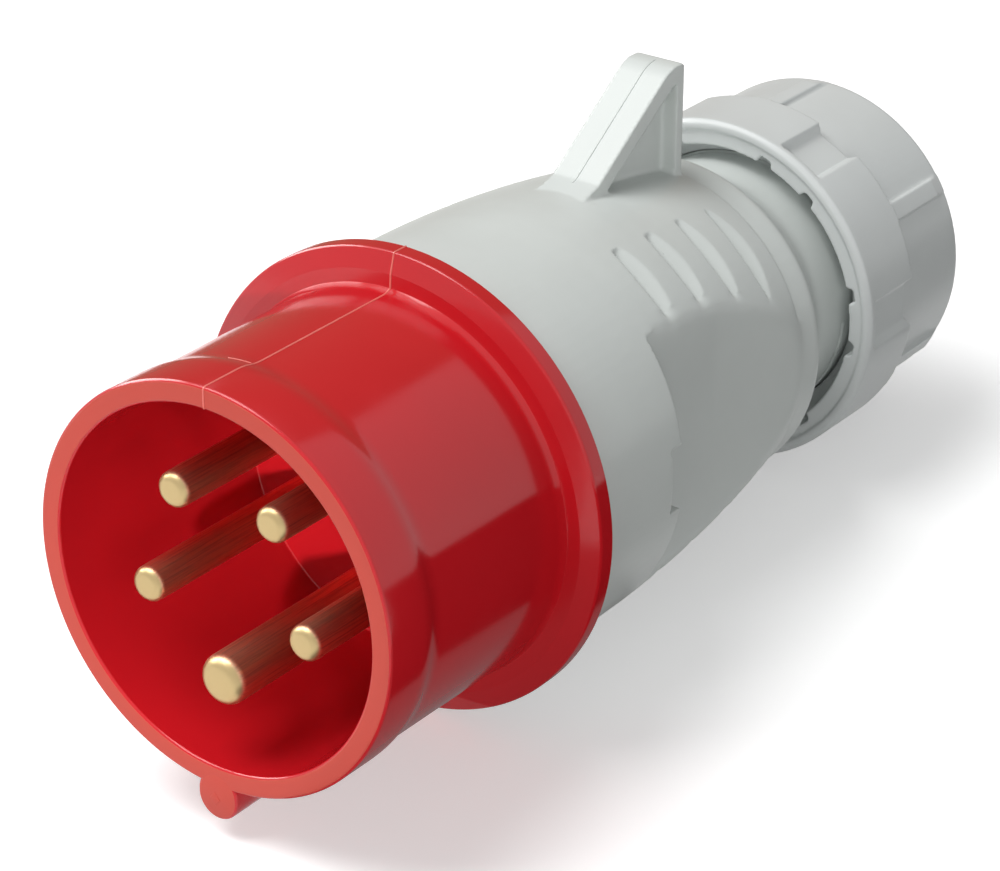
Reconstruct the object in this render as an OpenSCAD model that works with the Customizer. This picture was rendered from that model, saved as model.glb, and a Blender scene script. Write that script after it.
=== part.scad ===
// Industrial pin and sleeve plug with five contacts and a screw cable gland.
// The plug's axis runs along Y: the mouth of the sleeve is at Y = 0, the cable leaves towards +Y,
// and the hook points to +Z. Angles are measured from +X towards +Z. All sizes are in millimetres.

/* [Sleeve] */
// Outside diameter of the sleeve's front collar
sleeve_d = 57; // [52:0.5:62]
// Wall of the sleeve at its rim
sleeve_wall = 3.1; // [2.4:0.1:4]
// Depth of the sleeve from its rim to the base wall
sleeve_depth = 38.8; // [34:0.2:46]
// Length of the front collar
collar_len = 8.5; // [5:0.5:14]
// How far the collar stands out from the sleeve behind it
collar_step = 0.6; // [0.2:0.05:0.8]
// Width of the polarising nib under the collar
nib_w = 6.4; // [4:0.2:9]
// How far the nib stands out from the collar
nib_h = 4.8; // [3.6:0.2:7]

/* [Flange and base] */
// Thickness of the flange
flange_t = 2.7; // [1.6:0.1:4]
// How far the flange stands out from the handle
flange_overhang = 3.15; // [2:0.05:5]
// Thickness of the base wall that carries the contacts
base_t = 5; // [4.4:0.2:8]
// Length of the spigot that enters the handle
spigot_len = 8.2; // [6:0.2:10]

/* [Contacts] */
// Diameter of the phase and neutral pins
pin_d = 5; // [4:0.1:6]
// Diameter of the earth pin
earth_d = 7; // [6:0.1:8]
// Diameter of the circle that the pins stand on
pin_circle_d = 27; // [25:0.5:31]
// Distance of the phase and neutral tips behind the rim
pin_recess = 2.1; // [1:0.1:6]
// Distance of the earth tip behind the rim
earth_recess = 0.9; // [0.5:0.1:4]
// Diameter of the terminal barrels behind the base wall
terminal_d = 9.4; // [8.6:0.1:10]
// Length of the terminal barrels
terminal_len = 15; // [13:0.5:20]
// Thickness of the plate that holds the contacts
retainer_t = 3.5; // [2.5:0.1:5]

/* [Handle] */
// Wall of the handle
housing_wall = 2.4; // [2:0.1:3.2]
// Length of the finger grip behind the side steps
grip_len = 37.8; // [34:0.2:46]
// Diameter of the grip at its rear end
grip_end_d = 50.5; // [48:0.1:54]
// Length of the rim behind the grip
rim_len = 4; // [3:0.1:4.5]
// Length over which the floor of a side hollow rises to the rim
hollow_ramp = 24; // [9:1:30]
// Distance between two finger grooves
groove_pitch = 8.2; // [7:0.1:9]
// Depth of the first finger groove at its middle
groove_depth = 1.35; // [0.5:0.05:1.6]
// Length of a finger groove along the plug
groove_len = 3.5; // [2.6:0.1:4.4]

/* [Hook] */
// Width of the hook
hook_w = 7.8; // [6:0.2:12]
// Thickness of the web between the hook's two bars
hook_web = 3; // [2:0.1:5]
// Height of the hook's top above the handle's largest radius
hook_rise = 11.8; // [8:0.1:15]
// Length of the hook along the plug
hook_len = 24.6; // [20:0.2:30]
// Thickness of the hook's sloping bar
hook_bar = 2.6; // [1.8:0.1:4]

/* [Cable gland] */
// Outside diameter of the threaded neck
neck_d = 40; // [38:0.2:42]
// Length of the neck behind the grip
neck_len = 31; // [28:0.2:36]
// Outside diameter of the nut over its lugs
nut_d = 53.2; // [51:0.1:58]
// Length of the nut
nut_len = 30; // [28.5:0.1:33]
// Distance from the grip to the nut as it stands, partly unscrewed
nut_gap = 16.4; // [15:0.1:18]
// Angle at which the nut stands
nut_angle = 1.7; // [0:0.1:60]
// Largest cable that the gland takes
cable_d = 16; // [12:0.5:18]

/* [Hidden] */
$fn = 96;

// Colours
red_plastic = "#c42a28";
light_grey = "#c5cac6";
nut_grey = "#c8cccb";
dark_grey = "#5a5f62";
brass = "#d9c27a";
zinc = "#b9bdc0";
black_rubber = "#2a2b2c";

// Clearances and shared small sizes
loose = 0.2;
snug = 0.05;
edge = 0.45;
overlap = 0.5;
apart = 0.3;

// Contact places, counted round from the earth pin at the bottom
contact_count = 5;
earth_angle = 270;
contact_step = 360 / contact_count;
contact_angles = [for (i = [0 : contact_count - 1]) earth_angle + i * contact_step];
pin_r = pin_circle_d / 2;
pin_collar_r = terminal_d / 2 + 0.9;
pin_collar_t = 2.5;
pin_root_step = 0.5;
wire_r = 2.1;
wire_depth = 11;
clamp_screw_r = 1.7;
clamp_head_r = 2.2;
clamp_head_t = 1.4;
clamp_screw_from_end = 4.3;

// Screws that hold the retainer, standing midway between contacts
retainer_screw_angles = [90, 234, 306];
retainer_screw_r = 1.45;
retainer_head_r = 2.7;
retainer_head_t = 1.9;
retainer_bite = 3.6;

// Sleeve, flange and base, from the rim backwards
collar_r = sleeve_d / 2;
bore_r = collar_r - sleeve_wall;
sleeve_r = collar_r - collar_step;
collar_ramp = 1.2;
sleeve_draft = 0.1;
foot_r = sleeve_r + sleeve_draft;
flange_setback = 0.8;
flange_y = sleeve_depth - flange_setback;
seat_y = flange_y + flange_t;
back_y = sleeve_depth + base_t;
base_corner = 1.2;

// Long screws beside the retainer plate, and the handle round them
retainer_r = pin_r + terminal_d / 2 + 1.6;
screw_boss_r = 2;
boss_gap = 3.6;
long_screw_r = 1.25;
long_head_r = 2;
long_head_t = 2.2;
long_screw_x = retainer_r + boss_gap + screw_boss_r;
spigot_r = long_screw_x + screw_boss_r + snug;
spigot_wall = 2.4;
chamber_r = spigot_r + loose;
housing_r = chamber_r + housing_wall;
flange_r = housing_r + flange_overhang;
// The sleeve's foot bends out to a shoulder ring, from which the flange's face slopes back to its edge
foot_bend = 3.2;
foot_sweep = 30;
shoulder_h = 0.8;
shoulder_y = flange_y - shoulder_h;
foot_y = shoulder_y - foot_bend * sin(foot_sweep);
foot_top_r = foot_r + foot_bend * (1 - cos(foot_sweep));
shoulder_r = foot_top_r + 0.44 * (flange_r - edge - foot_top_r);
gasket_w = 1.15;
gasket_t = 1.5;

// Handle lengths: the dome covers the terminals, and the grip follows it
terminal_y = back_y + terminal_len;
terminal_room = 1;
step_y = terminal_y + terminal_room + housing_wall;
grip_y = step_y + grip_len;
rim_y = grip_y + rim_len;
neck_y = grip_y + neck_len;
notch_x = long_screw_x - long_head_r - loose;
waist_x = notch_x - 2 * snug;
inner_waist_x = waist_x - housing_wall;
notch_w = 9.5;
notch_d = long_head_t + apart;
notch_y = step_y - notch_d;
screw_post_x = long_screw_x - long_screw_r - 2.1;
screw_post_w = 9.8;
post_y = seat_y + spigot_len + apart;

// The grip's outline is an arc that leaves the dome tangentially and ends at the grip's rear edge
belly_lead = 7.2;
belly_y = step_y - belly_lead;
grip_end_r = grip_end_d / 2;
belly_drop = housing_r - grip_end_r;
belly_len = grip_y - belly_y;
belly_r = (belly_len * belly_len + belly_drop * belly_drop) / (2 * belly_drop);
function grip_r(y) =
    y < belly_y ? housing_r : housing_r - belly_r + sqrt(belly_r ^ 2 - (y - belly_y) ^ 2);

// Finger grooves on the four shoulders between the hollows and the plain top and bottom
groove_count = 4;
groove_first_y = step_y + 5.5;
groove_top_angle = 63;
groove_overrun = 4.5;
groove_deepening = 0.08;
groove_wall_share = 0.35;
// Angle at which the side hollow meets the grip's surface
function hollow_angle(y) = acos(waist_x / grip_r(y));

// Rim behind the grip: a shallow dip, then a ridge with a round edge
rim_dip = 0.55;
rim_drop = 0.15;
rim_r = grip_end_r - rim_drop;
rim_round = 2;

// Neck and gland
neck_r = neck_d / 2;
flare_r = 6;
flare_slope = 35;
flare_top_r = rim_r - rim_round * (1 - cos(flare_slope));
flare_low_r = neck_r + flare_r * (1 - cos(flare_slope));
flare_y = rim_y + (rim_round + flare_r) * sin(flare_slope)
    + (flare_top_r - flare_low_r) / tan(flare_slope);
neck_wall = 4.5;
seal_bore_r = neck_r - neck_wall;
throat_r = seal_bore_r - 2.5;
throat_y = grip_y - housing_wall;
seal_setback = 22;
seal_y = neck_y - seal_setback;
seal_len = 12.9;
collet_y = seal_y + seal_len + 0.1;
collet_len = neck_y + loose - collet_y;
seal_r = cable_d / 2;
collet_bore_r = seal_r + 1.3;
collet_slots = 8;
collet_slot_w = 1.8;
collet_ring_t = 2.7;
collet_taper = 3;

// Nut, measured from its own front face
nut_y = grip_y + nut_gap;
nut_wall_t = 5.5;
shoulder_n = nut_len - nut_wall_t;
thread_r = neck_r + 0.25;
lug_r = nut_d / 2;
groove_floor_r = lug_r - 1.6;
land_r = lug_r - 1.4;
pocket_r = lug_r - 2.15;
ledge_r = neck_r + 2.6;
ledge_t = 2.5;
ledge_set = 0.5;
lug_count = 6;
lug_step = 360 / lug_count;
gap_floor_w = 5.4;
gap_top_w = 8.2;
land_angle = 6.6;
lug_front_n = 1.6;
lug_rear_n = 12.4;
rear_round = 1.4;
land_end = 3.9;
entry_r = seal_r + 2.5;
entry_edge = 0.6;
ratchet_half = 10.5;
ratchet_w = 2.6;
ratchet_d = 1.1;
ring_t = 1.8;

// Points of an arc about c, from angle a0 to angle a1
function arc(c, r, a0, a1, n = 6) =
    [for (i = [0 : n]) c + r * [cos(a0 + (a1 - a0) * i / n), sin(a0 + (a1 - a0) * i / n)]];

// Stands a shape's Z axis along the plug, starting at y
module along(y) translate([0, y, 0]) rotate([-90, 0, 0]) children();

// Swings a shape from the +X side round the plug to the given angle
module around(angle) rotate([0, -angle, 0]) children();

// Turns an outline of [radius, y] points round the plug's axis
module turned(outline) rotate([-90, 0, 0]) rotate_extrude() polygon(outline);

// As turned, over a sector centred on the +X side
module turned_sector(outline, angle)
    rotate([-90, 0, 0]) rotate([0, 0, -angle / 2]) rotate_extrude(angle = angle) polygon(outline);

// Extrudes an outline of [y, z] points sideways, centred on the plug's middle plane
module sideways(width)
    translate([-width / 2, 0, 0]) rotate([90, 0, 90]) linear_extrude(width) children();

// Cross recess of a screw head, cut along -Z from the head's top at the origin
module cross_recess(reach, depth)
    for (a = [0, 90]) rotate([0, 0, a])
        translate([-reach, -0.45, -depth]) cube([2 * reach, 0.9, depth + 1]);

// Pan head screw that points down along -Z, with its seat at the origin
module pan_screw(shank_r, shank_len, head_r, head_t) {
    difference() {
        union() {
            translate([0, 0, -shank_len]) cylinder(r = shank_r, h = shank_len + overlap);
            cylinder(r = head_r, h = head_t * 0.6);
            translate([0, 0, head_t * 0.6]) cylinder(r1 = head_r, r2 = head_r * 0.72, h = head_t * 0.4);
        }
        translate([0, 0, head_t]) cross_recess(head_r * 0.6, head_t * 0.6);
    }
}

// Polarising nib: a rib with a round foot under the collar
module nib() {
    foot_z = collar_r + nib_h - nib_w / 2;
    root_z = collar_r - sleeve_wall / 2;
    translate([0, 0, -foot_z]) along(0) cylinder(d = nib_w, h = collar_len);
    translate([-nib_w / 2, 0, -foot_z]) cube([nib_w, collar_len, foot_z - root_z]);
}

// Red moulding: collar, sleeve, flared foot, flange, spigot and base wall
module front_shell() {
    color(red_plastic) difference() {
        union() {
            turned(concat(
                arc([bore_r + edge, edge], edge, 180, 270, 4),
                arc([collar_r - edge, edge], edge, 270, 360, 4),
                [[collar_r, collar_len], [sleeve_r, collar_len + collar_ramp]],
                arc([foot_r + foot_bend, foot_y], foot_bend, 180, 180 - foot_sweep),
                [[shoulder_r, shoulder_y + 0.1]],
                arc([flange_r - edge, flange_y + edge], edge, 270, 360, 4),
                [[flange_r, seat_y - edge / 2], [flange_r - edge / 2, seat_y],
                 [spigot_r, seat_y], [spigot_r, seat_y + spigot_len],
                 [spigot_r - spigot_wall, seat_y + spigot_len], [spigot_r - spigot_wall, back_y],
                 [0, back_y], [0, sleeve_depth]],
                arc([bore_r - base_corner, sleeve_depth - base_corner], base_corner, 90, 0, 4)));
            nib();
            for (side = [0, 180]) around(side) translate([long_screw_x, 0, 0])
                along(seat_y - overlap) cylinder(r = screw_boss_r, h = spigot_len + overlap);
        }
        for (a = contact_angles) around(a) translate([pin_r, 0, 0]) {
            pin_hole_r = (a == earth_angle ? earth_d : pin_d) / 2 + pin_root_step + snug;
            along(sleeve_depth - 1) cylinder(r = pin_hole_r, h = base_t + 2);
            along(back_y - pin_collar_t) cylinder(r = pin_collar_r + loose, h = pin_collar_t + 1);
        }
        for (a = retainer_screw_angles) around(a) translate([pin_r, 0, 0])
            along(back_y - retainer_bite - apart)
                cylinder(r = retainer_screw_r + snug, h = retainer_bite + 1);
        for (side = [0, 180]) around(side) translate([long_screw_x, 0, 0])
            along(seat_y) cylinder(r = long_screw_r + snug, h = spigot_len + 1);
    }
}

// Turned brass contact: round-ended pin, collar, and a drilled terminal barrel with a clamp screw hole
module contact(d, recess, angle) {
    r = d / 2;
    root_r = r + pin_root_step;
    tip = r * 0.5;
    barrel_r = terminal_d / 2;
    color(brass) around(angle) translate([pin_r, 0, 0]) difference() {
        turned(concat([[0, recess]],
            arc([r - tip, recess + tip], tip, 270, 360),
            [[r, sleeve_depth], [root_r, sleeve_depth + pin_root_step], [root_r, back_y - pin_collar_t],
             [pin_collar_r, back_y - pin_collar_t], [pin_collar_r, back_y], [barrel_r, back_y],
             [barrel_r, terminal_y - edge], [barrel_r - edge, terminal_y],
             [0, terminal_y]]));
        along(terminal_y - wire_depth) cylinder(r = wire_r, h = wire_depth + 1);
        translate([0, terminal_y - clamp_screw_from_end, 0]) rotate([0, 90, 0])
            cylinder(r = clamp_screw_r + snug, h = terminal_d);
    }
}

module pin_earth() { contact(earth_d, earth_recess, contact_angles[0]); }
module pin_l1() { contact(pin_d, pin_recess, contact_angles[1]); }
module pin_l2() { contact(pin_d, pin_recess, contact_angles[2]); }
module pin_l3() { contact(pin_d, pin_recess, contact_angles[3]); }
module pin_neutral() { contact(pin_d, pin_recess, contact_angles[4]); }

// One clamp screw in each barrel, backed out of the wire hole
module terminal_screws() {
    color(zinc) for (a = contact_angles) around(a)
        translate([pin_r + terminal_d / 2, terminal_y - clamp_screw_from_end, 0]) rotate([0, 90, 0])
            pan_screw(clamp_screw_r, terminal_d / 2 - wire_r, clamp_head_r, clamp_head_t);
}

// Plate that traps the contacts' collars against the base wall
module contact_retainer() {
    color(dark_grey) difference() {
        along(back_y) cylinder(r = retainer_r, h = retainer_t);
        for (a = contact_angles) around(a) translate([pin_r, 0, 0])
            along(back_y - 1) cylinder(r = terminal_d / 2 + loose, h = retainer_t + 2);
        for (a = retainer_screw_angles) around(a) translate([pin_r, 0, 0])
            along(back_y - 1) cylinder(r = retainer_screw_r + loose, h = retainer_t + 2);
    }
}

module retainer_screws() {
    color(zinc) for (a = retainer_screw_angles) around(a) translate([pin_r, 0, 0])
        along(back_y + retainer_t)
            pan_screw(retainer_screw_r, retainer_t + retainer_bite, retainer_head_r, retainer_head_t);
}

// Flat rubber ring in the rebate at the front of the handle
module body_gasket() {
    inner = spigot_r + 0.1;
    color(black_rubber) turned([[inner, seat_y], [inner + gasket_w, seat_y],
                                [inner + gasket_w, seat_y + gasket_t], [inner, seat_y + gasket_t]]);
}

// Outside of the handle before the hollows and grooves are cut: dome, belly, rim, flare and neck
module handle_blank() {
    turned(concat(
        [[0, seat_y]],
        arc([housing_r - edge, seat_y + edge], edge, 270, 360, 3),
        arc([housing_r - belly_r, belly_y], belly_r, 0, asin(belly_len / belly_r), 10),
        [[grip_end_r - rim_dip, grip_y + apart]],
        arc([rim_r - rim_round, rim_y], rim_round, 0, flare_slope, 4),
        arc([neck_r + flare_r, flare_y], flare_r, 180 + flare_slope, 180, 5),
        [[neck_r, neck_y - edge], [neck_r - edge, neck_y], [0, neck_y]]));
}

// Hook that holds a socket's lid: sloping bar, upright rear bar and a thin web between them
module hook() {
    rear_y = grip_y - apart;
    toe_y = rear_y - hook_len;
    toe_z = grip_r(toe_y) - 0.2;
    top_z = housing_r + hook_rise;
    top_round = 6;
    slope = 33.5;
    root_z = neck_r;
    rear_bar = 1.7;
    // The sloping face runs into a round top, which ends level
    shoulder = [rear_y - 1.6, top_z - top_round];
    face_end = shoulder + top_round * [-sin(slope), cos(slope)];
    toe_run = (face_end[1] - toe_z) / tan(slope);
    face_start = [face_end[0] - toe_run, toe_z];
    module silhouette() polygon(concat(
        [[toe_y, root_z], [toe_y, toe_z], face_start + [2.2, 2.2 * tan(slope) * 0.72]],
        arc(shoulder, top_round, 90 + slope, 90),
        [[rear_y - 0.4, top_z], [rear_y, top_z - 0.4], [rear_y, root_z]]));
    module window() {
        inset = hook_bar / cos(slope);
        top = face_end - [0, inset];
        reach = rear_y - rear_bar - top[0];
        polygon([face_start - [hook_len, inset + hook_len * tan(slope)],
                 [top[0] + reach * 0.9, top[1] + reach * 0.9 * tan(slope) * 0.8],
                 [rear_y - rear_bar, top[1] + reach * 0.55 * tan(slope)],
                 [rear_y - rear_bar, face_start[1] - inset - hook_len * tan(slope)]]);
    }
    sideways(hook_web) silhouette();
    sideways(hook_w) difference() {
        silhouette();
        window();
    }
}

// One finger groove, straight across the round grip: a short slope down from y, then a longer one up.
// It spans from z0 to z1 across its middle
module grip_groove(y, depth, middle_angle, z0, z1) {
    top = grip_r(y);
    rear = grip_r(y + groove_len);
    wall_len = groove_len * groove_wall_share;
    fall = depth / wall_len;
    rise = (rear - top + depth) / (groove_len - wall_len);
    out = 2;
    around(middle_angle) translate([0, 0, z0]) linear_extrude(z1 - z0)
        polygon([[top - depth, y + wall_len], [top + out, y - out / fall],
                 [rear + out, y + groove_len + out / rise]]);
}

// Grooves of all four shoulders: each runs into the hollow and ends in a wall near the plain strip
module grip_grooves() {
    for (i = [0 : groove_count - 1]) {
        y = groove_first_y + i * groove_pitch;
        depth = groove_depth * (1 + i * groove_deepening);
        half = acos(1 - depth / grip_r(y));
        middle = hollow_angle(y) - groove_overrun + half;
        low = grip_r(y) * sin(half) + 1;
        high = grip_r(y) * sin(groove_top_angle - middle);
        for (a = [middle, 180 + middle]) grip_groove(y, depth, a, -low, high);
        for (a = [-middle, 180 - middle]) grip_groove(y, depth, a, -high, low);
    }
}

// Flat hollow in the grip's side, whose floor rises to the rim behind
module side_hollow() {
    outside = housing_r + 5;
    translate([0, 0, -outside]) linear_extrude(2 * outside)
        polygon([[waist_x, step_y], [waist_x, rim_y - hollow_ramp], [grip_end_r, rim_y],
                 [outside, rim_y], [outside, step_y]]);
}

// Space inside the handle: contact chamber with two screw posts left standing, grip, throat, seal bore
module handle_space() {
    wall_y = step_y - housing_wall;
    difference() {
        along(seat_y - 1) cylinder(r = chamber_r, h = wall_y - seat_y + 1);
        for (side = [0, 180]) around(side) translate([screw_post_x, post_y, -screw_post_w / 2])
            cube([chamber_r, wall_y - post_y + 1, screw_post_w]);
    }
    intersection() {
        along(wall_y - overlap)
            cylinder(r1 = chamber_r - loose, r2 = grip_end_r - housing_wall,
                     h = throat_y - wall_y + overlap);
        translate([-inner_waist_x, wall_y - overlap, -housing_r])
            cube([2 * inner_waist_x, throat_y - wall_y + 2 * overlap, 2 * housing_r]);
    }
    along(throat_y - 1) cylinder(r = throat_r, h = seal_y - throat_y + 2);
    along(seal_y) cylinder(r = seal_bore_r, h = neck_y - seal_y + 1);
    along(seat_y - 1) cylinder(r = spigot_r + 0.1 + gasket_w + 0.1, h = gasket_t + 1.1);
}

module housing() {
    color(light_grey) difference() {
        union() {
            handle_blank();
            hook();
        }
        for (side = [0, 180]) around(side) {
            side_hollow();
            translate([notch_x, notch_y, -notch_w / 2]) cube([housing_r, notch_d + 1, notch_w]);
            translate([long_screw_x, 0, 0])
                along(post_y - 1) cylinder(r = long_screw_r + loose, h = notch_y - post_y + 2);
        }
        grip_grooves();
        handle_space();
    }
}

module housing_screws() {
    color(zinc) for (side = [0, 180]) around(side) translate([long_screw_x, 0, 0])
        along(notch_y) pan_screw(long_screw_r, notch_y - seat_y - 1.5, long_head_r, long_head_t);
}

// Rubber bush with three sealing lips on its bore
module cable_seal() {
    outer = seal_bore_r - loose;
    lips = 3;
    lip_h = 1.2;
    lip_pitch = seal_len / lips;
    color(black_rubber) turned(concat(
        [[outer, seal_y], [outer, seal_y + seal_len]],
        [for (i = [lips - 1 : -1 : 0], p = [1, 0.75, 0.25])
            [seal_r + (p == 1 ? lip_h : 0), seal_y + (i + p) * lip_pitch]],
        [[seal_r + lip_h, seal_y]]));
}

// Slotted ring that closes on the cable when the nut pushes it home
module clamp_collet() {
    outer = seal_bore_r - loose;
    color(dark_grey) difference() {
        turned([[outer - 1.2, collet_y], [outer, collet_y + collet_taper],
                [outer, collet_y + collet_len], [collet_bore_r, collet_y + collet_len],
                [collet_bore_r, collet_y]]);
        for (i = [0 : collet_slots - 1]) around(i * 360 / collet_slots)
            translate([0, collet_y - 1, -collet_slot_w / 2])
                cube([outer + 1, collet_len - collet_ring_t + 1, collet_slot_w]);
    }
}

// Slip washer that lies against the nut's shoulder
module pressure_ring() {
    color(dark_grey) difference() {
        along(nut_y + shoulder_n - 0.1 - ring_t) cylinder(r = neck_r - 0.1, h = ring_t);
        along(nut_y + shoulder_n - 1 - ring_t - 0.1) cylinder(r = entry_r + apart, h = ring_t + 2);
    }
}

// Round body of the nut: stepped front face, lug ring, land ring, rear face and stepped bore
module nut_body() {
    step_r = lug_r - 1.5;
    relief_r = ledge_r + 0.8;
    ledge_rear = ledge_set + ledge_t;
    turned([[ledge_r, ledge_set], [step_r, ledge_set], [step_r, 0], [lug_r - 0.6, 0], [lug_r, 0.6],
            [lug_r, lug_rear_n + apart], [land_r, lug_rear_n + 2 * apart],
            [land_r, nut_len - land_end], [pocket_r - apart, nut_len - apart],
            [pocket_r - rear_round, nut_len], [entry_r + entry_edge, nut_len],
            [entry_r, nut_len - entry_edge], [entry_r, shoulder_n],
            [thread_r, shoulder_n], [thread_r, ledge_rear + 2.4], [relief_r, ledge_rear + 1.3],
            [relief_r, ledge_rear], [ledge_r, ledge_rear]]);
}

// Groove between two lugs, with sloping sides, behind the unbroken front rim
module lug_groove() {
    depth = lug_r - groove_floor_r;
    widening = (gap_top_w - gap_floor_w) / depth;
    half_floor = gap_floor_w / 2;
    half_out = half_floor + widening * (depth + 1) / 2;
    along(lug_front_n) linear_extrude(lug_rear_n + 1 - lug_front_n)
        polygon([[groove_floor_r, -half_floor], [lug_r + 1, -half_out],
                 [lug_r + 1, half_out], [groove_floor_r, half_floor]]);
}

// Shallow pocket behind the lugs, between two lands, with its rear edge rounded
module rear_pocket()
    turned_sector(concat(
        [[pocket_r, lug_rear_n], [lug_r + 1, lug_rear_n], [lug_r + 1, nut_len + 1],
         [pocket_r - rear_round, nut_len + 1]],
        arc([pocket_r - rear_round, nut_len - rear_round], rear_round, 90, 0)),
        lug_step - land_angle);

// Trapezium notch in the ledge's inner edge
module ratchet_notch() {
    along(ledge_set - 1) linear_extrude(ledge_t + 2)
        polygon([[ledge_r - 1, -ratchet_w * 0.62], [ledge_r + ratchet_d, -ratchet_w * 0.34],
                 [ledge_r + ratchet_d, ratchet_w * 0.34], [ledge_r - 1, ratchet_w * 0.62]]);
}

module gland_nut() {
    color(nut_grey) translate([0, nut_y, 0]) around(nut_angle) difference() {
        nut_body();
        for (i = [0 : lug_count - 1]) around(i * lug_step) {
            lug_groove();
            rear_pocket();
            for (s = [-1, 1]) around(s * ratchet_half) ratchet_notch();
        }
    }
}

front_shell();
pin_l1();
pin_l2();
pin_l3();
pin_neutral();
pin_earth();
terminal_screws();
contact_retainer();
retainer_screws();
body_gasket();
housing();
housing_screws();
cable_seal();
clamp_collet();
pressure_ring();
gland_nut();
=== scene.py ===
"""Dresses an industrial pin and sleeve plug: moulded red shell, grey handle and gland, brass contacts."""
import math

import bpy
from bpy.props import FloatProperty, PointerProperty, StringProperty
from mathutils import Matrix, Vector


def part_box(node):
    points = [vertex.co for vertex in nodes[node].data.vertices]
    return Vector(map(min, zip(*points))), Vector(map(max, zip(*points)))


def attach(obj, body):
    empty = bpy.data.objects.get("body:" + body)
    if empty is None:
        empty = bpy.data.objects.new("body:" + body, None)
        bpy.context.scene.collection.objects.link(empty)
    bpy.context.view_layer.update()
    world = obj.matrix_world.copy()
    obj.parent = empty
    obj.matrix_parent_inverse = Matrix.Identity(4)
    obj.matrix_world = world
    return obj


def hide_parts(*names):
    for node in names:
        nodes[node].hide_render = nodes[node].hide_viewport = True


bl_info = {
    "name": "Pin and Sleeve Plug",
    "version": (1, 0, 0),
    "blender": (4, 5, 0),
    "location": "View3D > Sidebar > Plug",
    "description": "Dresses the plug's solids with moulded, turned and rubber finishes on a studio floor",
    "category": "Object",
}

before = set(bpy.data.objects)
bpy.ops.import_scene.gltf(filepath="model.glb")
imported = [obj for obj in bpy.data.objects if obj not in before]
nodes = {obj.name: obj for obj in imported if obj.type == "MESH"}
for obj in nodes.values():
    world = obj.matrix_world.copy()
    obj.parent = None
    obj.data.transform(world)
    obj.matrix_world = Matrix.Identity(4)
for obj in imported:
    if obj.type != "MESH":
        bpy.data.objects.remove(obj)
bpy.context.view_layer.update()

MM = 0.001
CONTACTS = ("pin_l1", "pin_l2", "pin_l3", "pin_neutral", "pin_earth")
# Points of a mesh that lie closer than this are one point
MERGE = 0.002 * MM
# Too small to see: for comparing places, and for setting one face in front of another
HAIR = 0.01 * MM
# Triangles that the handle and the nut keep, which stay under what one piece may have
HANDLE_FACES, NUT_FACES = 190000, 180000
# Passes that relax the edges of a moulded piece
EDGE_PASSES = 2
# Section of the shell as (radius, place along the plug, rounding) in millimetres
SHELL_SECTION = (
    (0, 38.8, 0), (25.4, 38.8, 0.3),  # floor of the sleeve
    (25.4, 0, 0.5), (28.5, 0, 0.5),  # rim
    (28.5, 7.6, 9), (27.9, 10.0, 9),  # collar and its ramp
    (28.0, 36.455, 3.2), (28.43, 37.2, 0.14),  # foot
    (30.33, 37.3, 0.3), (33.2, 38.06, 0.42),  # shoulder ring and front of the flange
    (33.2, 40.7, 0.25), (27.45, 40.7, 0),  # back of the flange
    (27.45, 48.9, 0.3), (25.05, 48.9, 0.3),  # spigot
    (25.05, 43.8, 0), (0, 43.8, 0),  # back of the base wall
)


class PlugFinishes(bpy.types.PropertyGroup):
    """Colours of the plug's finishes, as sRGB hex."""
    red: StringProperty(name="Shell red", description="Moulded front shell", default="#BF1720")
    # Rim red: a rough matt finish, with light from the front painted into its paler, warmer colour
    matt_red_lit_from_front: StringProperty(name="Matt red lit from the front", description="Rim's front face: matt, its paler colour painted light from the front",
                             default="#BE4A3F")
    # The flash is a real raised line; its paler colour is a painted highlight
    flash: StringProperty(name="Flash", description="Flash on the shell's parting line, paler for a painted highlight", default="#E0756C")
    grey: StringProperty(name="Handle grey", description="Moulded handle and hook", default="#D0D5D2")
    nut_grey: StringProperty(name="Nut grey", description="Moulded gland nut", default="#D0D4D3")
    brass: StringProperty(name="Brass", description="Turned tips of the contacts", default="#BDA77A")
    # Reddish side tone: painted reflection of the red sleeve, over drawn brass
    drawn_brass_red_reflection: StringProperty(name="Drawn brass", description="Drawn sides of the contacts, with the red sleeve's reflection painted in",
                                default="#F0BE9C")
    zinc: StringProperty(name="Zinc", description="Plated screws", default="#C3C6C9")
    dark: StringProperty(name="Dark grey", description="Retainer, collet and slip ring", default="#4A4E51")
    rubber: StringProperty(name="Rubber", description="Cable seal and gasket", default="#1E1F20")


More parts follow.
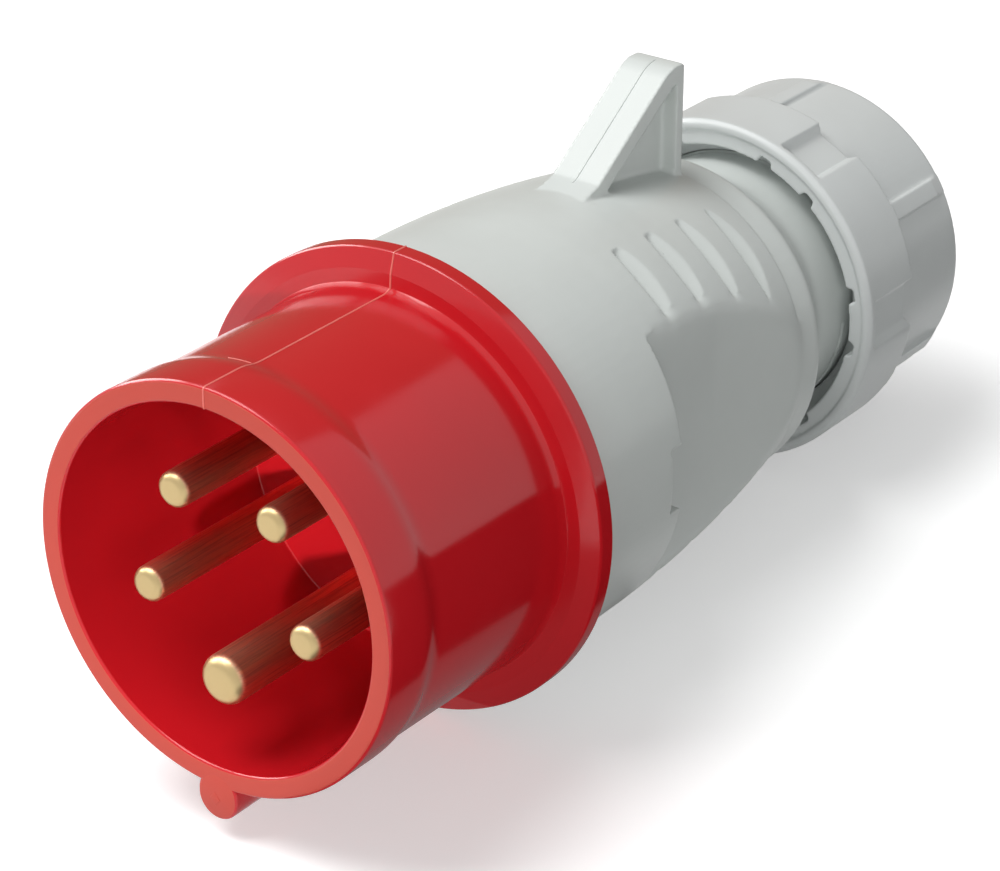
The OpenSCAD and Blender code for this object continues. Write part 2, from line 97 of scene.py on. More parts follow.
class PlugDetails(bpy.types.PropertyGroup):
    """Sizes of the details that the moulds leave on the plug."""
    nut_grain: FloatProperty(name="Nut grain", description="Faces that round the nut's edges",
                             default=0.25 * MM, unit="LENGTH", precision=5)
    handle_grain: FloatProperty(name="Handle grain", description="Faces that round the handle's edges",
                                default=0.3 * MM, unit="LENGTH", precision=5)
    seam_radius: FloatProperty(name="Seam", description="Half width of a parting line",
                               default=0.13 * MM, unit="LENGTH", precision=5)
    flash_height: FloatProperty(name="Flash height", description="Height over the axis of the shell's flash",
                                default=27.6 * MM, unit="LENGTH", precision=5)
    flash_end: FloatProperty(name="Flash end", description="Rear end of the shell's flash",
                             default=40.6 * MM, unit="LENGTH", precision=5)
    tick_place: FloatProperty(name="Tick place", description="Place along the plug of the short line",
                              default=9.6 * MM, unit="LENGTH", precision=5)
    tick_length: FloatProperty(name="Tick length", description="Length of the collar's short line",
                               default=4.5 * MM, unit="LENGTH", precision=5)
    hook_foot: FloatProperty(name="Hook foot", description="Height over the axis of the seam's foot",
                             default=29.6 * MM, unit="LENGTH", precision=5)
    hook_toe: FloatProperty(name="Hook toe", description="Front end of the hook's seam",
                            default=74 * MM, unit="LENGTH", precision=5)
    hook_back: FloatProperty(name="Hook back", description="Rear end of the hook's seam",
                             default=98.1 * MM, unit="LENGTH", precision=5)
    thread_pitch: FloatProperty(name="Thread pitch", description="Pitch of the gland thread",
                                default=3 * MM, unit="LENGTH", precision=5)
    thread_crest: FloatProperty(name="Thread crest", description="Radius over the neck's thread",
                                default=20.18 * MM, unit="LENGTH", precision=5)
    thread_root: FloatProperty(name="Thread root", description="Radius under the neck's thread",
                               default=19.6 * MM, unit="LENGTH", precision=5)
    thread_start: FloatProperty(name="Thread start", description="Place along the plug of the thread's front",
                                default=118.8 * MM, unit="LENGTH", precision=5)


class PlugStage(bpy.types.PropertyGroup):
    """Camera and studio light."""
    azimuth: FloatProperty(name="Azimuth", description="Camera's direction round the plug",
                           default=math.radians(35.869), subtype="ANGLE")
    elevation: FloatProperty(name="Elevation", description="Camera's height over the plug",
                             default=math.radians(26.338), subtype="ANGLE")
    roll: FloatProperty(name="Roll", description="Camera's lean", default=math.radians(-0.399),
                        subtype="ANGLE")
    lens: FloatProperty(name="Lens", description="Focal length in millimetres", default=126.0, unit="CAMERA")
    sensor: FloatProperty(name="Sensor", description="Sensor width in millimetres", default=36.0,
                          unit="CAMERA")
    key_watts: FloatProperty(name="Key", description="Power of the softbox over the plug's front",
                             default=7.6, unit="POWER")
    side_watts: FloatProperty(name="Side", description="Power of the fill on the plug's right side",
                              default=2.5, unit="POWER")
    front_watts: FloatProperty(name="Front", description="Power of the low fill in front",
                               default=1.5, unit="POWER")
    mouth_watts: FloatProperty(name="Mouth", description="Power of the lamp that shines into the sleeve",
                               default=46.0, unit="POWER")
    ambient: FloatProperty(name="Ambient", description="Strength of the room's even light", default=0.24)


def linear(hex_colour):
    """Linear RGBA of an sRGB hex colour."""
    channels = [int(hex_colour[i:i + 2], 16) / 255 for i in (1, 3, 5)]
    return [c / 12.92 if c <= 0.04045 else ((c + 0.055) / 1.055) ** 2.4 for c in channels] + [1.0]


def shade(rgba, factor):
    """A linear colour made darker or lighter."""
    return [min(1.0, c * factor) for c in rgba[:3]] + [1.0]


def add_node(tree, kind, links=(), **settings):
    """Adds a shader node. A setting named for an input sets it; links pair an output with an input's name."""
    made = tree.nodes.new(kind)
    for key, value in settings.items():
        name = key.replace("_", " ")
        socket = next((s for s in made.inputs if s.name.lower() == name.lower()), None)
        if socket is not None:
            socket.default_value = value
        else:
            setattr(made, key, value)
    for source, target in links:
        tree.links.new(source, made.inputs[target])
    return made


def new_material(name):
    """An empty node material with its output, and its tree."""
    made = bpy.data.materials.new(name)
    made.use_nodes = True
    made.node_tree.nodes.clear()
    return made, made.node_tree


def finish_material(tree, shader):
    """Ends a material with its shader as the surface."""
    add_node(tree, "ShaderNodeOutputMaterial", [(shader.outputs[0], "Surface")])


def moulded_plastic(name, hex_colour, roughness, grain_mm, grain_height_mm, sheen=0.25):
    """Injection-moulded polyamide: smooth, with a faint orange peel from the tool and a slight cloud."""
    made, tree = new_material(name)
    colour = linear(hex_colour)
    place = add_node(tree, "ShaderNodeTexCoord")
    flow = add_node(tree, "ShaderNodeTexNoise", [(place.outputs["Object"], "Vector")],
                    scale=1 / (14 * MM), detail=3.0, roughness=0.55)
    tint = add_node(tree, "ShaderNodeValToRGB", [(flow.outputs["Fac"], "Fac")])
    tint.color_ramp.elements[0].position = 0.3
    tint.color_ramp.elements[0].color = shade(colour, 0.98)
    tint.color_ramp.elements[1].position = 0.7
    tint.color_ramp.elements[1].color = shade(colour, 1.02)
    gloss = add_node(tree, "ShaderNodeMapRange", [(flow.outputs["Fac"], "Value")],
                     from_min=0.3, from_max=0.7, to_min=roughness - 0.03, to_max=roughness + 0.04)
    peel = add_node(tree, "ShaderNodeTexNoise", [(place.outputs["Object"], "Vector")],
                    scale=1 / (grain_mm * MM), detail=2.0, roughness=0.5)
    bump = add_node(tree, "ShaderNodeBump", [(peel.outputs["Fac"], "Height")],
                    strength=1.0, distance=grain_height_mm * MM)
    body = add_node(tree, "ShaderNodeBsdfPrincipled",
                    [(tint.outputs["Color"], "Base Color"), (gloss.outputs["Result"], "Roughness"),
                     (bump.outputs["Normal"], "Normal")], ior=1.53, specular_ior_level=sheen)
    finish_material(tree, body)
    return made


def turned_brass(name, tip_hex, side_reflection_hex):
    """Brass rod: drawn sides with fine dark lines along the pin, their reddish tone a painted reflection of
    the red sleeve, and a paler satin turned tip.
    """
    made, tree = new_material(name)
    # The sides' reddish tone is a painted reflection of the red sleeve; the fine lines are real
    reddened_side = linear(side_reflection_hex)
    place = add_node(tree, "ShaderNodeTexCoord")
    along = add_node(tree, "ShaderNodeMapping", [(place.outputs["Object"], "Vector")],
                     scale=(1 / (0.3 * MM), 1 / (10 * MM), 1 / (0.3 * MM)))
    lines = add_node(tree, "ShaderNodeTexNoise", [(along.outputs["Vector"], "Vector")],
                     scale=1.0, detail=4.0, roughness=0.6)
    tint = add_node(tree, "ShaderNodeValToRGB", [(lines.outputs["Fac"], "Fac")])
    tint.color_ramp.elements[0].position = 0.34
    tint.color_ramp.elements[0].color = shade(reddened_side, 0.7)
    tint.color_ramp.elements[1].position = 0.56
    tint.color_ramp.elements[1].color = reddened_side
    facing = add_node(tree, "ShaderNodeSeparateXYZ", [(place.outputs["Normal"], "Vector")])
    end = add_node(tree, "ShaderNodeMapRange", [(facing.outputs["Y"], "Value")],
                   from_min=-0.35, from_max=-0.6)
    brass = add_node(tree, "ShaderNodeMixRGB",
                     [(end.outputs["Result"], "Fac"), (tint.outputs["Color"], "Color1")],
                     color2=linear(tip_hex))
    gloss = add_node(tree, "ShaderNodeMapRange", [(lines.outputs["Fac"], "Value")],
                     from_min=0.3, from_max=0.7, to_min=0.42, to_max=0.34)
    bump = add_node(tree, "ShaderNodeBump", [(lines.outputs["Fac"], "Height")],
                    strength=0.5, distance=0.01 * MM)
    body = add_node(tree, "ShaderNodeBsdfPrincipled",
                    [(brass.outputs["Color"], "Base Color"), (gloss.outputs["Result"], "Roughness"),
                     (bump.outputs["Normal"], "Normal")], metallic=1.0)
    finish_material(tree, body)
    return made


def plated_steel(name, hex_colour):
    """Zinc-plated steel screws: pale metal with a mottled passivated skin."""
    made, tree = new_material(name)
    colour = linear(hex_colour)
    place = add_node(tree, "ShaderNodeTexCoord")
    mottle = add_node(tree, "ShaderNodeTexNoise", [(place.outputs["Object"], "Vector")],
                      scale=1 / (0.8 * MM), detail=3.0)
    tint = add_node(tree, "ShaderNodeValToRGB", [(mottle.outputs["Fac"], "Fac")])
    tint.color_ramp.elements[0].color = shade(colour, 0.8)
    tint.color_ramp.elements[1].color = colour
    gloss = add_node(tree, "ShaderNodeMapRange", [(mottle.outputs["Fac"], "Value")],
                     to_min=0.28, to_max=0.45)
    body = add_node(tree, "ShaderNodeBsdfPrincipled",
                    [(tint.outputs["Color"], "Base Color"), (gloss.outputs["Result"], "Roughness")],
                    metallic=1.0)
    finish_material(tree, body)
    return made


def soft_rubber(name, hex_colour):
    """Moulded black rubber: dull, with a fine bloom."""
    made, tree = new_material(name)
    colour = linear(hex_colour)
    place = add_node(tree, "ShaderNodeTexCoord")
    bloom = add_node(tree, "ShaderNodeTexNoise", [(place.outputs["Object"], "Vector")],
                     scale=1 / (1.5 * MM), detail=5.0, roughness=0.7)
    tint = add_node(tree, "ShaderNodeValToRGB", [(bloom.outputs["Fac"], "Fac")])
    tint.color_ramp.elements[0].color = colour
    tint.color_ramp.elements[1].color = shade(colour, 1.7)
    bump = add_node(tree, "ShaderNodeBump", [(bloom.outputs["Fac"], "Height")],
                    strength=0.5, distance=0.03 * MM)
    body = add_node(tree, "ShaderNodeBsdfPrincipled",
                    [(tint.outputs["Color"], "Base Color"), (bump.outputs["Normal"], "Normal")],
                    roughness=0.75, ior=1.52)
    finish_material(tree, body)
    return made


def seen_rays(tree):
    """Socket that is 1 for rays that show the background: from the camera, in gloss and through glass."""
    path = add_node(tree, "ShaderNodeLightPath")
    seen = path.outputs["Is Camera Ray"]
    for ray in ("Is Glossy Ray", "Is Transmission Ray"):
        either = add_node(tree, "ShaderNodeMath", operation="MAXIMUM")
        tree.links.new(seen, either.inputs[0])
        tree.links.new(path.outputs[ray], either.inputs[1])
        seen = either.outputs[0]
    return seen


def select_none():
    """Object mode with nothing selected, ready for a new piece."""
    if bpy.context.object and bpy.context.object.mode != "OBJECT":
        bpy.ops.object.mode_set(mode="OBJECT")
    bpy.ops.object.select_all(action="DESELECT")


def select_only(piece):
    """Object mode with just this piece selected and active."""
    select_none()
    piece.select_set(True)
    bpy.context.view_layer.objects.active = piece


def select_points(piece, test):
    """Edit mode with just the points selected that pass the test, from a piece in object mode."""
    bpy.ops.object.mode_set(mode="EDIT")
    bpy.ops.mesh.select_mode(type="VERT")
    bpy.ops.mesh.select_all(action="DESELECT")
    bpy.ops.object.mode_set(mode="OBJECT")
    for vertex in piece.data.vertices:
        vertex.select = test(vertex.co)
    bpy.ops.object.mode_set(mode="EDIT")


def merged_copy(node, name):
    """A copy of a CAD node with its own mesh, its loose triangles merged into one surface."""
    made = bpy.data.objects.new(name, nodes[node].data.copy())
    bpy.context.scene.collection.objects.link(made)
    select_only(made)
    bpy.ops.object.mode_set(mode="EDIT")
    bpy.ops.mesh.select_all(action="SELECT")
    bpy.ops.mesh.remove_doubles(threshold=MERGE)
    bpy.ops.mesh.customdata_custom_splitnormals_clear()
    bpy.ops.object.mode_set(mode="OBJECT")
    return made


def rounded(section):
    """The section's points in metres, with an arc at each corner that has a rounding."""
    corners = [Vector((r, y)) for r, y, _ in section]
    points = []
    for i, (corner, (_, _, rounding)) in enumerate(zip(corners, section)):
        if not rounding:
            points.append(corner * MM)
            continue
        back, ahead = (corners[i - 1] - corner).normalized(), (corners[i + 1] - corner).normalized()
        half = back.angle(ahead) / 2
        reach = rounding / math.tan(half)
        centre = corner + (back + ahead).normalized() * rounding / math.sin(half)
        start, end = corner + back * reach - centre, corner + ahead * reach - centre
        steps = max(3, math.ceil(math.degrees(math.pi - 2 * half) / 7))
        points += [(centre + start.lerp(end, k / steps).normalized() * rounding) * MM
                   for k in range(steps + 1)]
    return points


def turned(name, section, steps):
    """A piece turned on the plug's axis: its section is drawn by extruding a point, then spun."""
    points = rounded(section)
    select_none()
    bpy.ops.mesh.primitive_plane_add(size=MM)
    made = bpy.context.object
    made.name = name
    bpy.ops.object.mode_set(mode="EDIT")
    bpy.ops.mesh.select_all(action="SELECT")
    bpy.ops.mesh.merge(type="CENTER")
    bpy.ops.transform.translate(value=(points[0].x, points[0].y, 0))
    for before, after in zip(points, points[1:]):
        bpy.ops.mesh.extrude_region_move(
            TRANSFORM_OT_translate={"value": (after.x - before.x, after.y - before.y, 0)})
    bpy.ops.mesh.select_all(action="SELECT")
    # Half a step of turn keeps the seams of the spin off the plug's middle plane
    bpy.ops.transform.rotate(value=math.pi / steps, orient_axis="Y", center_override=(0, 0, 0))
    bpy.ops.mesh.spin(steps=steps, angle=2 * math.pi, center=(0, 0, 0), axis=(0, 1, 0))
    bpy.ops.mesh.select_all(action="SELECT")
    bpy.ops.mesh.remove_doubles(threshold=MERGE)
    bpy.ops.mesh.normals_make_consistent(inside=False)
    bpy.ops.object.mode_set(mode="OBJECT")
    return made


def screw_thread(name, start, pitch, turns, root, crest):
    """A helical ridge: its section is spun with a rise, and both ends sink into the neck."""
    select_none()
    bpy.ops.mesh.primitive_plane_add(size=MM)
    made = bpy.context.object
    made.name = name
    bpy.ops.object.mode_set(mode="EDIT")
    bpy.ops.mesh.select_all(action="SELECT")
    bpy.ops.mesh.delete(type="ONLY_FACE")
    bpy.ops.object.mode_set(mode="OBJECT")
    # The plane's corners become the foot and the crest of the ridge
    spots = [(root, 0.0), (root, 0.84 * pitch), (crest, 0.3 * pitch), (crest, 0.54 * pitch)]
    for vertex, (radius, along) in zip(made.data.vertices, spots):
        vertex.co = (radius, start + along, 0)
    ridge = made.modifiers.new("Thread", "SCREW")
    ridge.axis = "Y"
    ridge.angle = 2 * math.pi
    ridge.screw_offset = pitch
    ridge.iterations = turns
    ridge.steps = ridge.render_steps = 96
    ridge.use_merge_vertices = False
    select_only(made)
    bpy.ops.object.modifier_apply(modifier=ridge.name)
    bpy.ops.object.mode_set(mode="EDIT")
    bpy.ops.mesh.select_all(action="DESELECT")
    bpy.ops.mesh.select_mode(type="VERT")
    bpy.ops.mesh.select_non_manifold(extend=False, use_boundary=True, use_wire=False, use_multi_face=False,
                                     use_non_contiguous=False, use_verts=False)
    bpy.ops.transform.resize(value=(root / crest, 1, root / crest), center_override=(0, 0, 0))
    bpy.ops.mesh.fill_holes(sides=4)
    bpy.ops.mesh.select_all(action="SELECT")
    bpy.ops.mesh.normals_make_consistent(inside=False)
    bpy.ops.object.mode_set(mode="OBJECT")
    smooth(made)
    return made


def soften(piece, grain, passes, faces, blend=None, blend_passes=40):
    """Gives a moulded piece the soft edges of its mould: even quads of the grain's size, relaxed and thinned.

    Points that pass the blend test are relaxed further, into a wide soft edge.
    """
    select_only(piece)
    grid = piece.modifiers.new("Grid", "REMESH")
    grid.mode = "VOXEL"
    grid.voxel_size = grain
    bpy.ops.object.modifier_apply(modifier=grid.name)
    relax = piece.modifiers.new("Relax", "SMOOTH")
    relax.factor = 0.5
    relax.iterations = passes
    bpy.ops.object.modifier_apply(modifier=relax.name)
    if blend:
        select_points(piece, blend)
        bpy.ops.mesh.vertices_smooth(factor=0.5, repeat=blend_passes)
        bpy.ops.object.mode_set(mode="OBJECT")
    thin = piece.modifiers.new("Thin", "DECIMATE")
    thin.ratio = min(1.0, faces / (2 * len(piece.data.polygons)))
    bpy.ops.object.modifier_apply(modifier=thin.name)
    bpy.ops.object.shade_smooth()


def parting_line(source, name, radius, keep, at=(0, 0, 0), across=(1, 0, 0)):
    """A thin raised line where a plane cuts the piece, along points that pass the keep test."""
    made = bpy.data.objects.new(name, source.data.copy())
    bpy.context.scene.collection.objects.link(made)
    select_only(made)
    bpy.ops.object.mode_set(mode="EDIT")
    bpy.ops.mesh.select_all(action="SELECT")
    bpy.ops.mesh.bisect(plane_co=at, plane_no=across, clear_inner=True, clear_outer=True)
    bpy.ops.object.mode_set(mode="OBJECT")
    select_points(made, lambda point: not keep(point))
    bpy.ops.mesh.delete(type="VERT")
    bpy.ops.mesh.select_all(action="SELECT")
    bpy.ops.mesh.remove_doubles(threshold=0.02 * MM)
    bpy.ops.object.mode_set(mode="OBJECT")
    bpy.ops.object.convert(target="CURVE")
    made.data.bevel_depth = radius
    made.data.bevel_resolution = 2
    made.data.use_fill_caps = True
    bpy.ops.object.convert(target="MESH")
    bpy.ops.object.shade_smooth()
    return made


def dress(piece, material, body, slot, *replaced):
    """Gives a finished piece its material, its body and the node it stands for."""
    piece.data.materials.clear()
    piece.data.materials.append(material)
    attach(piece, body)
    if replaced:
        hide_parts(*replaced)


def smooth(piece, angle=30.0):
    """Smooth shading, with edges sharper than the angle in degrees left crisp."""
    select_only(piece)
    bpy.ops.object.shade_smooth_by_angle(angle=math.radians(angle))


class PLUG_OT_front_shell(bpy.types.Operator):
    """Red front shell with its parting-line flash"""
    bl_idname = "plug.front_shell"
    bl_label = "Front Shell"

    def execute(self, context):
        finishes, details = context.scene.plug_finishes, context.scene.plug_details
        red = moulded_plastic("Red moulded polyamide", finishes.red, roughness=0.15, grain_mm=0.9,
                              grain_height_mm=0.003, sheen=0.4)
        # Rim faces and gate mark: matt finish, with painted light from the front in its paler red
        lit_matt = moulded_plastic("Red matt polyamide lit from the front", finishes.matt_red_lit_from_front, roughness=0.45, grain_mm=0.4,
                               grain_height_mm=0.004)
        # Painted highlight: the raised flash lines get a paler red than the shell
        flash_painted_highlight = moulded_plastic("Red flash with painted highlight", finishes.flash, roughness=0.34, grain_mm=0.5,
                               grain_height_mm=0.003)
        shell = turned("shell_red", SHELL_SECTION, 192)
        smooth(shell)
        dress(shell, red, "plug", "red_plastic", "front_shell")
        nib = self.nib(context)
        dress(nib, red, "plug", "red_plastic")
        for piece in (shell, nib):
            self.put_lit_matt(piece, lit_matt)
        dress(self.gate_mark(context), lit_matt, "plug", "red_plastic")
        # Round the rim's edge and on its front face, the flash also runs lower
        edge, drop = 0.6 * MM, 2 * MM
        flash = parting_line(shell, "shell_flash", details.seam_radius, lambda p: p.y < details.flash_end and
                             p.z > details.flash_height - (drop if p.y < edge else 0))
        dress(flash, flash_painted_highlight, "plug", "red_plastic")
        tick = parting_line(shell, "collar_flash", 0.7 * details.seam_radius,
                            lambda p: p.z > 0 and -details.tick_length < p.x < 0,
                            (0, details.tick_place, 0), (0, 1, 0))
        dress(tick, flash_painted_highlight, "plug", "red_plastic")
        return {"FINISHED"}

    def put_lit_matt(self, piece, lit_matt):
        """Puts the matt finish on the faces that look forward at the rim; its paler, warmer colour is painted
        light from the front.
        """
        depth, inner_edge = MM, 25.6 * MM
        piece.data.materials.append(lit_matt)
        select_only(piece)
        select_points(piece, lambda point: False)
        bpy.ops.mesh.select_mode(type="FACE")
        bpy.ops.object.mode_set(mode="OBJECT")
        for face in piece.data.polygons:
            face.select = face.normal.y < -0.9 and face.center.y < depth and \
                math.hypot(face.center.x, face.center.z) > inner_edge
        bpy.ops.object.mode_set(mode="EDIT")
        piece.active_material_index = 1
        bpy.ops.object.material_slot_assign()
        bpy.ops.object.mode_set(mode="OBJECT")

    def gate_mark(self, context):
        """Diamond-shaped scar of the mould's gate on the front of the nib."""
        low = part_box("front_shell")[0][2]
        radius, depth, rounding = 1.05 * MM, 0.3 * MM, 0.06 * MM
        place = (-0.4 * MM, 0.08 * MM, low + 2.9 * MM)
        select_none()
        bpy.ops.mesh.primitive_cylinder_add(vertices=4, radius=radius, depth=depth, location=place,
                                            rotation=(math.pi / 2, 0, 0), scale=(0.85, 1, 1))
        made = context.object
        made.name = "nib_gate"
        bpy.ops.object.transform_apply(location=True, rotation=True, scale=True)
        bpy.ops.object.mode_set(mode="EDIT")
        bpy.ops.mesh.select_all(action="SELECT")
        bpy.ops.mesh.bevel(offset=rounding, segments=3, affect="EDGES")
        bpy.ops.object.mode_set(mode="OBJECT")
        smooth(made)
        return made

    def nib(self, context):
        """Polarising nib: a rod under the collar, stretched up into the wall, with rounded ends."""
        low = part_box("front_shell")[0][2]
        radius, length, rise, rounding = 3.2 * MM, 8.5 * MM, 0.5 * MM, 0.45 * MM
        select_none()
        bpy.ops.mesh.primitive_cylinder_add(vertices=64, radius=radius, depth=length,
                                            location=(0, length / 2, low + radius),
                                            rotation=(math.pi / 2, 0, 0))
        made = context.object
        made.name = "shell_nib"
        bpy.ops.object.transform_apply(location=True, rotation=True, scale=True)
        select_points(made, lambda point: point.z > low + radius + HAIR)
        bpy.ops.transform.translate(value=(0, 0, rise))
        bpy.ops.mesh.select_mode(type="EDGE")
        bpy.ops.mesh.select_all(action="DESELECT")
        bpy.ops.object.mode_set(mode="OBJECT")
        for edge in made.data.edges:
            ends = [made.data.vertices[i].co for i in edge.vertices]
            edge.select = all(end.y < HAIR or end.y > length - HAIR for end in ends) and \
                abs(ends[0].y - ends[1].y) < HAIR
        bpy.ops.object.mode_set(mode="EDIT")
        bpy.ops.mesh.bevel(offset=rounding, segments=4, affect="EDGES")
        # A hair in front of the rim, so that the two faces read as one
        bpy.ops.mesh.select_all(action="SELECT")
        bpy.ops.transform.translate(value=(0, -HAIR, 0))
        bpy.ops.object.mode_set(mode="OBJECT")
        smooth(made)
        return made


class PLUG_OT_contacts(bpy.types.Operator):
    """Five turned brass contacts"""
    bl_idname = "plug.contacts"
    bl_label = "Contacts"

    def execute(self, context):
        finishes = context.scene.plug_finishes
        brass = turned_brass("Drawn and turned brass", finishes.brass, finishes.drawn_brass_red_reflection)
        for node in CONTACTS:
            pin = merged_copy(node, node.replace("pin", "contact"))
            smooth(pin)
            dress(pin, brass, "plug", "brass", node)
        return {"FINISHED"}


class PLUG_OT_handle(bpy.types.Operator):
    """Grey handle with its hook"""
    bl_idname = "plug.handle"
    bl_label = "Handle"

    def execute(self, context):
        finishes, details = context.scene.plug_finishes, context.scene.plug_details
        handle = merged_copy("housing", "handle_grey")
        soften(handle, details.handle_grain, EDGE_PASSES, HANDLE_FACES, self.on_hollow)
        grey = moulded_plastic("Grey moulded polyamide", finishes.grey, roughness=0.34, grain_mm=0.7,
                               grain_height_mm=0.004, sheen=0.3)
        dress(handle, grey, "plug", "grey_plastic", "housing")
        seam = parting_line(handle, "hook_seam", details.seam_radius,
                            lambda p: p.z > details.hook_foot and details.hook_toe < p.y < details.hook_back)
        line = moulded_plastic("Grey moulded seam", finishes.grey, roughness=0.34, grain_mm=0.5,
                               grain_height_mm=0.003)
        dress(seam, line, "plug", "grey_plastic")
        thread = screw_thread("neck_thread", details.thread_start, details.thread_pitch, 3,
                              details.thread_root, details.thread_crest)
        dress(thread, grey, "plug", "grey_plastic")
        return {"FINISHED"}

    @staticmethod
    def on_hollow(point):
        """Whether a point lies on a flat side hollow, whose floor rises to the rear, or beside it."""
        front, rear, rise_start = 64 * MM, 103.5 * MM, 80 * MM
        depth, slope, shoulder = 23.1 * MM, 0.09, 1.4 * MM
        floor = depth + slope * max(0, point.y - rise_start)
        return front < point.y < rear and abs(point.x) > floor - shoulder


class PLUG_OT_gland(bpy.types.Operator):
    """Gland nut"""
    bl_idname = "plug.gland"
    bl_label = "Gland"

    def execute(self, context):
        finishes, details = context.scene.plug_finishes, context.scene.plug_details
        nut = merged_copy("gland_nut", "nut_grey")
        soften(nut, details.nut_grain, EDGE_PASSES, NUT_FACES)
        grey = moulded_plastic("Grey moulded nut polyamide", finishes.nut_grey, roughness=0.34, grain_mm=0.7,
                               grain_height_mm=0.004, sheen=0.3)
        dress(nut, grey, "nut", "nut_plastic", "gland_nut")
        return {"FINISHED"}


class PLUG_OT_fittings(bpy.types.Operator):
    """Finishes of the screws, plates and seals inside"""
    bl_idname = "plug.fittings"
    bl_label = "Fittings"

    def execute(self, context):
        finishes = context.scene.plug_finishes
        zinc = plated_steel("Zinc plated steel", finishes.zinc)
        dark = moulded_plastic("Dark moulded polyamide", finishes.dark, roughness=0.45, grain_mm=0.5,
                               grain_height_mm=0.006)
        rubber = soft_rubber("Black rubber", finishes.rubber)
        wearing = {zinc: ("terminal_screws", "retainer_screws", "housing_screws"),
                   dark: ("contact_retainer", "clamp_collet", "pressure_ring"),
                   rubber: ("body_gasket", "cable_seal")}
        for material, names in wearing.items():
            for name in names:
                nodes[name].data.materials.clear()
                nodes[name].data.materials.append(material)
        return {"FINISHED"}


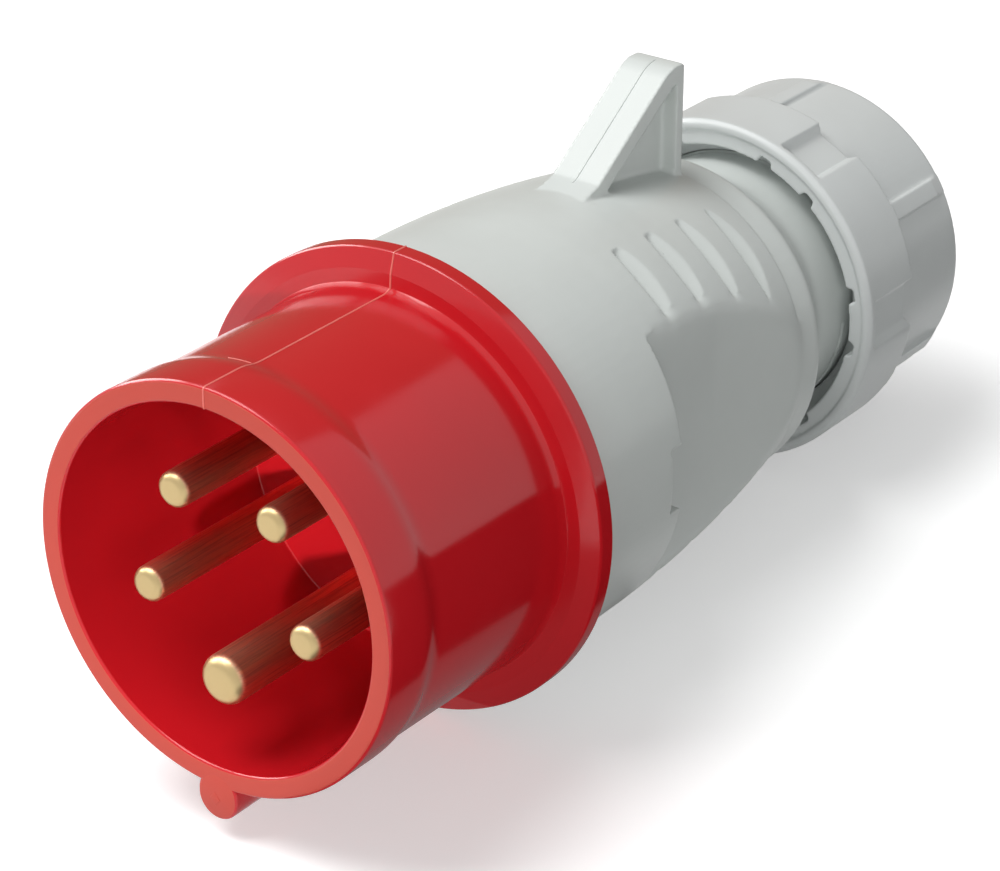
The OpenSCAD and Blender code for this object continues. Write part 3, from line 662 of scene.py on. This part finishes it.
class PLUG_OT_stage(bpy.types.Operator):
    """Pale floor, studio light and the camera"""
    bl_idname = "plug.stage"
    bl_label = "Stage"

    def execute(self, context):
        stage = context.scene.plug_stage
        self.floor(context)
        self.lamps(stage)
        self.flags(context)
        self.room(context, stage)
        self.camera(context, stage)
        context.scene.view_settings.view_transform = "Standard"
        return {"FINISHED"}

    def floor(self, context):
        """A pale sheet that touches the flange and the nut, on which the plug lies."""
        flange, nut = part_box("front_shell"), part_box("gland_nut")
        # Where the flange and the nut's lugs touch the floor
        flange_place, lug_place, sheet_size = 40 * MM, nut[0][1] + 12 * MM, 1.0
        front = Vector((0, flange_place, -flange[1][0]))
        rear = Vector((0, lug_place, -nut[1][0]))
        lean = math.atan2(rear.z - front.z, rear.y - front.y)
        select_none()
        bpy.ops.mesh.primitive_plane_add(size=sheet_size, location=front, rotation=(lean, 0, 0))
        floor = context.object
        floor.name = "studio_floor"
        made, tree = new_material("Pale studio paper")
        seen = seen_rays(tree)
        # The light that the sheet sends back to the plug is dimmer than the sheet looks
        dim = add_node(tree, "ShaderNodeBsdfDiffuse", color=linear("#A0A0A0"))
        paper = add_node(tree, "ShaderNodeBsdfDiffuse", color=linear("#F6F6F6"))
        glow = add_node(tree, "ShaderNodeEmission", color=linear("#FFFFFF"), strength=0.36)
        white = add_node(tree, "ShaderNodeAddShader")
        tree.links.new(paper.outputs[0], white.inputs[0])
        tree.links.new(glow.outputs[0], white.inputs[1])
        mixed = add_node(tree, "ShaderNodeMixShader", [(seen, "Fac")])
        tree.links.new(dim.outputs[0], mixed.inputs[1])
        tree.links.new(white.outputs[0], mixed.inputs[2])
        finish_material(tree, mixed)
        floor.data.materials.append(made)

    def lamps(self, stage):
        """Softboxes, given by place, size, power and whether gloss shows them, and a mouth lamp."""
        middle, mouth = Vector((0, 60, 0)) * MM, Vector((-6, 6, -4)) * MM
        boxes = {"key_softbox": ((-0.32, -0.26, 0.82), (0.6, 0.6), stage.key_watts, True),
                 "side_softbox": ((0.7, -0.6, 0.2), (0.5, 0.5), stage.side_watts, False),
                 "front_softbox": ((0.05, -0.95, 0.1), (0.9, 0.35), stage.front_watts, False)}
        for name, (place, size, watts, gleams) in boxes.items():
            box = bpy.data.lights.new(name, "AREA")
            box.shape = "RECTANGLE"
            box.size, box.size_y = size
            self.hang(box, watts, Vector(place), middle, gleams)
        spot = bpy.data.lights.new("mouth_lamp", "SPOT")
        spot.spot_size, spot.spot_blend = math.radians(2.9), 0.3
        spot.shadow_soft_size = 28 * MM
        self.hang(spot, stage.mouth_watts, Vector((0.36, -0.9, 0.16)), mouth, False)

    @staticmethod
    def hang(lamp, watts, place, target, gleams):
        """Hangs a lamp at a place that is measured from its target, and points it there."""
        lamp.energy = watts
        holder = bpy.data.objects.new(lamp.name, lamp)
        bpy.context.scene.collection.objects.link(holder)
        holder.location = target + place
        holder.rotation_euler = place.to_track_quat("Z", "Y").to_euler()
        holder.visible_glossy = gleams

    def flags(self, context):
        """Cards that only the gloss shows, as painted reflections: dim ones keep the reflections in the
        flanks dark, a bright one puts a painted highlight on the foot.

        Each is given by its place and size in millimetres, its turn in degrees, its glow and its tone.
        """
        upright, across, flat = (90, 0, 90), (90, 0, 0), (0, 0, 90)
        cards = {"right_flag": ((38, 310, -13), (600, 42), upright, 0.0, "#FFFFFF"),
                 "under_flag": ((55, 26, -29), (92, 90), flat, 0.22, "#FFFFFF"),
                 "left_flag": ((-160, 420, 60), (640, 190), upright, 0.3, "#FFDFC0"),
                 "left_highlight_card": ((-425, -10, 250), (400, 300), upright, 10.0, "#FFFFFF"),
                 "back_flag": ((-210, 620, 470), (640, 560), across, 0.4, "#FFDFC0")}
        for name, (place, (length, height), turn, glow, tone) in cards.items():
            paint, tree = new_material("Glow of " + name)
            shine = add_node(tree, "ShaderNodeEmission", color=linear(tone), strength=glow)
            finish_material(tree, shine)
            bpy.ops.mesh.primitive_plane_add(size=1.0, location=Vector(place) * MM,
                                             rotation=[math.radians(a) for a in turn])
            card = context.object
            card.name = name
            card.scale = (length * MM, height * MM, 1.0)
            card.data.materials.append(paint)
            card.visible_camera = card.visible_diffuse = card.visible_shadow = False

    def room(self, context, stage):
        """Even light from the room, which the camera and reflections see as plain white."""
        world = bpy.data.worlds.new("Studio room")
        context.scene.world = world
        world.use_nodes = True
        tree = world.node_tree
        tree.nodes.clear()
        strength = add_node(tree, "ShaderNodeMapRange", [(seen_rays(tree), "Value")],
                            to_min=stage.ambient, to_max=1.0)
        sky = add_node(tree, "ShaderNodeBackground", [(strength.outputs["Result"], "Strength")],
                       color=linear("#FFFFFF"))
        add_node(tree, "ShaderNodeOutputWorld", [(sky.outputs[0], "Surface")])

    def camera(self, context, stage):
        """Camera of the photograph's viewing angle, placed in millimetres from the sleeve's mouth."""
        place = Vector((253.8, -289.4, 212.0)) * MM
        around, up = stage.azimuth, stage.elevation
        back = Vector((math.sin(around) * math.cos(up), -math.cos(around) * math.cos(up), math.sin(up)))
        right = Vector((math.cos(around), math.sin(around), 0))
        turn = Matrix((right, back.cross(right), back)).transposed() @ Matrix.Rotation(-stage.roll, 3, "Z")
        lens = bpy.data.cameras.new("photo_camera")
        lens.lens, lens.sensor_width = stage.lens, stage.sensor
        camera = bpy.data.objects.new("photo_camera", lens)
        context.scene.collection.objects.link(camera)
        camera.matrix_world = Matrix.Translation(place) @ turn.to_4x4()
        context.scene.camera = camera


class PLUG_PT_panel(bpy.types.Panel):
    """Lists the plug's operators and settings"""
    bl_label = "Plug"
    bl_idname = "PLUG_PT_panel"
    bl_space_type = "VIEW_3D"
    bl_region_type = "UI"
    bl_category = "Plug"

    def draw(self, context):
        for operator in OPERATORS:
            self.layout.operator(operator.bl_idname)
        for group in (context.scene.plug_finishes, context.scene.plug_details, context.scene.plug_stage):
            box = self.layout.box()
            for name in group.__annotations__:
                box.prop(group, name)


GROUPS = (PlugFinishes, PlugDetails, PlugStage)
OPERATORS = (PLUG_OT_front_shell, PLUG_OT_contacts, PLUG_OT_handle, PLUG_OT_gland, PLUG_OT_fittings,
             PLUG_OT_stage)


def register():
    for cls in GROUPS + OPERATORS + (PLUG_PT_panel,):
        bpy.utils.register_class(cls)
    bpy.types.Scene.plug_finishes = PointerProperty(type=PlugFinishes)
    bpy.types.Scene.plug_details = PointerProperty(type=PlugDetails)
    bpy.types.Scene.plug_stage = PointerProperty(type=PlugStage)


def unregister():
    del bpy.types.Scene.plug_stage
    del bpy.types.Scene.plug_details
    del bpy.types.Scene.plug_finishes
    for cls in reversed(GROUPS + OPERATORS + (PLUG_PT_panel,)):
        bpy.utils.unregister_class(cls)


def main():
    register()
    bpy.ops.plug.front_shell()
    bpy.ops.plug.contacts()
    bpy.ops.plug.handle()
    bpy.ops.plug.gland()
    bpy.ops.plug.fittings()
    bpy.ops.plug.stage()


if __name__ == "__main__":
    main()
